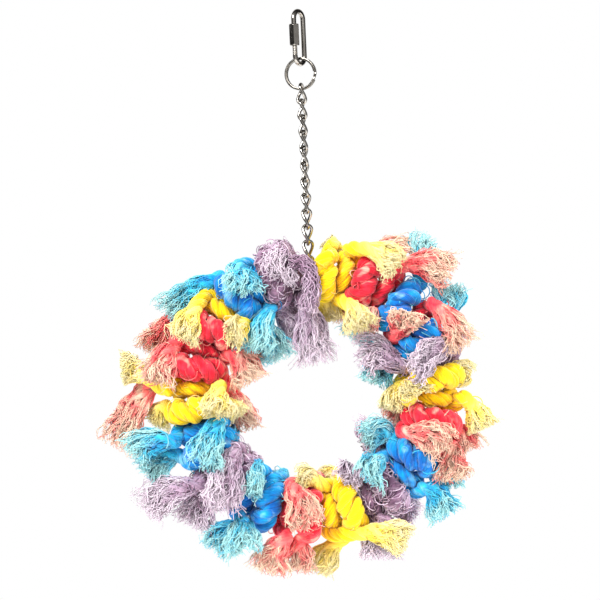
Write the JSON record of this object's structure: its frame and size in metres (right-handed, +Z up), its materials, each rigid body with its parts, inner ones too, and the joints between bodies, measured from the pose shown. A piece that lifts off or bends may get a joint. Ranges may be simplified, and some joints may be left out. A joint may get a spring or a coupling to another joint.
{
  "type": "bird rope ring",
  "caption": "Hanging cage toy for birds: a wire hoop dressed with knotted, frayed cotton rope pieces, on a twist-link chain with a split ring and a threaded quick link.",
  "frame": {"origin": "inside top of the quick link, where the cage bar lies", "axes": "+Z up along the chain, front of the hoop towards -Y, +X to the right seen from the front"},
  "size_m": [0.2377, 0.0579, 0.3539],
  "materials": {
    "plated_steel": "bright nickel plate",
    "nickel_steel": "nickel plate, satin",
    "galvanised_steel": "zinc plate",
    "cotton_yellow": "dyed cotton rope",
    "cotton_red": "dyed cotton rope",
    "cotton_blue": "dyed cotton rope",
    "cotton_purple": "dyed cotton rope"
  },
  "bodies": {
    "quick_link": {"quick_link": "plated_steel"},
    "sleeve_nut": {"sleeve_nut": "plated_steel"},
    "split_ring": {"split_ring": "nickel_steel"},
    "chain_link_01": {"chain_link_01": "plated_steel"},
    "chain_link_02": {"chain_link_02": "plated_steel"},
    "chain_link_03": {"chain_link_03": "plated_steel"},
    "chain_link_04": {"chain_link_04": "plated_steel"},
    "chain_link_05": {"chain_link_05": "plated_steel"},
    "chain_link_06": {"chain_link_06": "plated_steel"},
    "chain_link_07": {"chain_link_07": "plated_steel"},
    "chain_link_08": {"chain_link_08": "plated_steel"},
    "chain_link_09": {"chain_link_09": "plated_steel"},
    "chain_link_10": {"chain_link_10": "plated_steel"},
    "chain_link_11": {"chain_link_11": "plated_steel"},
    "chain_link_12": {"chain_link_12": "plated_steel"},
    "hoop": {"hoop": "galvanised_steel", "rope_01_yellow": "cotton_yellow", "rope_02_yellow": "cotton_yellow", "rope_03_red": "cotton_red", "rope_04_red": "cotton_red", "rope_05_blue": "cotton_blue", "rope_06_red": "cotton_red", "rope_07_blue": "cotton_blue", "rope_08_purple": "cotton_purple", "rope_09_yellow": "cotton_yellow", "rope_10_yellow": "cotton_yellow", "rope_11_red": "cotton_red", "rope_12_red": "cotton_red", "rope_13_blue": "cotton_blue", "rope_14_blue": "cotton_blue", "rope_15_purple": "cotton_purple", "rope_16_purple": "cotton_purple", "rope_17_yellow": "cotton_yellow", "rope_18_yellow": "cotton_yellow", "rope_19_red": "cotton_red", "rope_20_red": "cotton_red", "rope_21_blue": "cotton_blue", "rope_22_blue": "cotton_blue", "rope_23_purple": "cotton_purple", "rope_24_purple": "cotton_purple", "rope_25_blue": "cotton_blue", "rope_26_blue": "cotton_blue", "rope_27_yellow": "cotton_yellow", "rope_28_yellow": "cotton_yellow", "rope_29_red": "cotton_red", "rope_30_red": "cotton_red", "rope_31_red": "cotton_red", "rope_32_yellow": "cotton_yellow", "rope_33_blue": "cotton_blue", "rope_34_blue": "cotton_blue", "rope_35_purple": "cotton_purple", "rope_36_purple": "cotton_purple"}
  },
  "joints": [
    {"name": "nut_slide", "type": "slide", "parent": "quick_link", "child": "sleeve_nut", "axis": [0, 0, -1], "range_m": [0, 0.006]},
    {"name": "ring_swing", "type": "hinge", "parent": "quick_link", "child": "split_ring", "pos_m": [0, 0, -0.0312], "axis": [0.5736, 0.8192, 0], "range_deg": [-40, 40]},
    {"name": "link_01_swing", "type": "hinge", "parent": "split_ring", "child": "chain_link_01", "pos_m": [0, 0, -0.04391], "axis": [0.342, 0.9397, 0], "range_deg": [-25, 25]},
    {"name": "link_02_swing", "type": "hinge", "parent": "chain_link_01", "child": "chain_link_02", "pos_m": [0, 0, -0.05606], "axis": [-0.9001, 0.4358, 0], "range_deg": [-25, 25]},
    {"name": "link_03_swing", "type": "hinge", "parent": "chain_link_02", "child": "chain_link_03", "pos_m": [0, 0, -0.06351], "axis": [-0.525, -0.8511, 0], "range_deg": [-25, 25]},
    {"name": "link_04_swing", "type": "hinge", "parent": "chain_link_03", "child": "chain_link_04", "pos_m": [0, 0, -0.07566], "axis": [0.7934, -0.6088, 0], "range_deg": [-25, 25]},
    {"name": "link_05_swing", "type": "hinge", "parent": "chain_link_04", "child": "chain_link_05", "pos_m": [0, 0, -0.08311], "axis": [0.6862, 0.7274, 0], "range_deg": [-25, 25]},
    {"name": "link_06_swing", "type": "hinge", "parent": "chain_link_05", "child": "chain_link_06", "pos_m": [0, 0, -0.09526], "axis": [-0.6539, 0.7566, 0], "range_deg": [-25, 25]},
    {"name": "link_07_swing", "type": "hinge", "parent": "chain_link_06", "child": "chain_link_07", "pos_m": [0, 0, -0.10271], "axis": [-0.8192, -0.5736, 0], "range_deg": [-25, 25]},
    {"name": "link_08_swing", "type": "hinge", "parent": "chain_link_07", "child": "chain_link_08", "pos_m": [0, 0, -0.11486], "axis": [0.4874, -0.8732, 0], "range_deg": [-25, 25]},
    {"name": "link_09_swing", "type": "hinge", "parent": "chain_link_08", "child": "chain_link_09", "pos_m": [0, 0, -0.12231], "axis": [0.9182, 0.3961, 0], "range_deg": [-25, 25]},
    {"name": "link_10_swing", "type": "hinge", "parent": "chain_link_09", "child": "chain_link_10", "pos_m": [0, 0, -0.13446], "axis": [-0.3007, 0.9537, 0], "range_deg": [-25, 25]},
    {"name": "link_11_swing", "type": "hinge", "parent": "chain_link_10", "child": "chain_link_11", "pos_m": [0, 0, -0.14191], "axis": [-0.9793, -0.2022, 0], "range_deg": [-25, 25]},
    {"name": "link_12_swing", "type": "hinge", "parent": "chain_link_11", "child": "chain_link_12", "pos_m": [0, 0, -0.15406], "axis": [0.1016, -0.9948, 0], "range_deg": [-25, 25]},
    {"name": "hoop_swing", "type": "hinge", "parent": "chain_link_12", "child": "hoop", "pos_m": [0, 0, -0.16101], "axis": [1, 0, 0], "range_deg": [-25, 25]}
  ]
}
